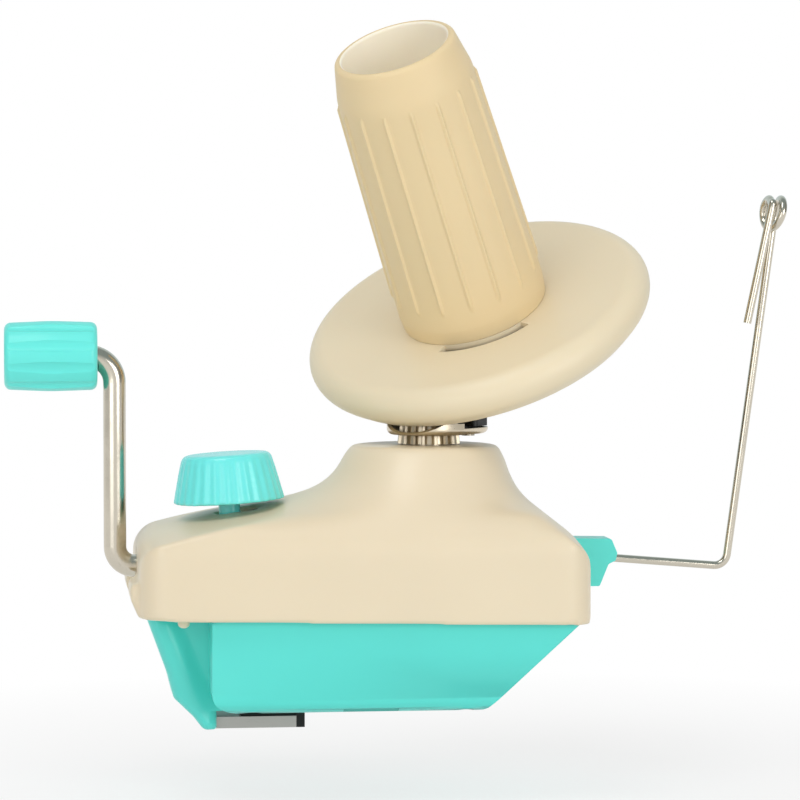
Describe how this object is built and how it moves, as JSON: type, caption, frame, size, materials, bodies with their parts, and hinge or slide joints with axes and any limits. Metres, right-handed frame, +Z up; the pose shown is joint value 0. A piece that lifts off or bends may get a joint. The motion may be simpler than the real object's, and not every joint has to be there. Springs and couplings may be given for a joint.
{
  "type": "yarn ball winder",
  "caption": "Table-clamped yarn ball winder: a side crank turns a leaning cone and flange through gears, and a wire arm with an eye guides the yarn.",
  "frame": {"origin": "on the flat underside of the tub, below the vertical main shaft; the clamp's nose and foot hang below it beside the table's edge", "axes": "+X towards the wire yarn guide, the crank is at -X; +Y away from the side that the picture shows; +Z up along the main shaft"},
  "size_m": [0.244, 0.1165, 0.2178],
  "materials": {
    "cream_housing": "satin moulded",
    "cream_head": "satin moulded",
    "mint": "moulded, slightly glossy",
    "steel": "nickel plated",
    "steel_dull": "plain drawn and stamped",
    "black_plastic": "moulded",
    "gear_plastic": "moulded, greased",
    "bronze": "sintered",
    "rubber": "moulded"
  },
  "bodies": {
    "housing": {"upper_housing": "cream_housing", "lower_housing": "mint", "housing_screws": "steel_dull", "base_pad": "rubber", "sun_gear": "steel_dull", "shaft_upper_bush": "bronze", "shaft_lower_bush": "bronze", "crank_outer_bush": "gear_plastic", "crank_inner_bush": "gear_plastic", "guide_holder": "mint"},
    "head": {"main_shaft": "steel", "drive_pinion": "steel_dull", "pinion_pin": "steel_dull", "cradle_strap": "steel_dull", "gear_guard": "steel", "cradle_block": "black_plastic", "cradle_rivets": "steel_dull", "spindle": "steel", "spindle_washer": "steel_dull", "spindle_clip": "steel_dull"},
    "cone": {"winding_cone": "cream_head", "flange_disc": "cream_head", "ring_gear": "gear_plastic", "cone_screws": "steel_dull", "spindle_bush": "bronze"},
    "crank": {"crank_rod": "steel", "crank_gear": "gear_plastic", "crank_clip": "steel_dull", "grip_cap": "mint"},
    "grip": {"crank_grip": "mint"},
    "knob": {"clamp_knob": "mint", "clamp_screw": "steel", "screw_clip": "steel_dull"},
    "bracket": {"clamp_bracket": "steel", "clamp_nut": "steel_dull", "clamp_pad": "rubber"},
    "guide": {"guide_wire": "steel"}
  },
  "joints": [
    {"name": "head_turn", "type": "hinge", "parent": "housing", "child": "head", "pos_m": [0, 0, 0.085], "axis": [0, 0, 1], "continuous": true},
    {"name": "cone_turn", "type": "hinge", "parent": "head", "child": "cone", "pos_m": [0.01685, 0.02081, 0.12373], "axis": [-0.3241, -0.4003, 0.8572], "continuous": true},
    {"name": "crank_turn", "type": "hinge", "parent": "housing", "child": "crank", "pos_m": [-0.086, 0, 0.0423], "axis": [1, 0, 0], "continuous": true},
    {"name": "grip_turn", "type": "hinge", "parent": "crank", "child": "grip", "pos_m": [-0.117, 0, 0.1074], "axis": [1, 0, 0], "continuous": true},
    {"name": "knob_turn", "type": "hinge", "parent": "housing", "child": "knob", "pos_m": [-0.06225, -0.009, 0.04991], "axis": [-0.061, 0, 0.9981], "range_deg": [0, 3960]},
    {"name": "clamp_travel", "type": "slide", "parent": "housing", "child": "bracket", "axis": [-0.061, 0, 0.9981], "range_m": [-0.0221, 0]},
    {"name": "guide_swing", "type": "hinge", "parent": "housing", "child": "guide", "pos_m": [0.052, 0, 0.04375], "axis": [0.9967, 0, -0.0817], "range_deg": [-90, 90]}
  ],
  "couplings": [
    {"joint": "cone_turn", "follows": "head_turn", "ratio": -0.16667},
    {"joint": "crank_turn", "follows": "head_turn", "ratio": 0.25},
    {"joint": "clamp_travel", "follows": "knob_turn", "m_per_rad": -0.00031831}
  ]
}
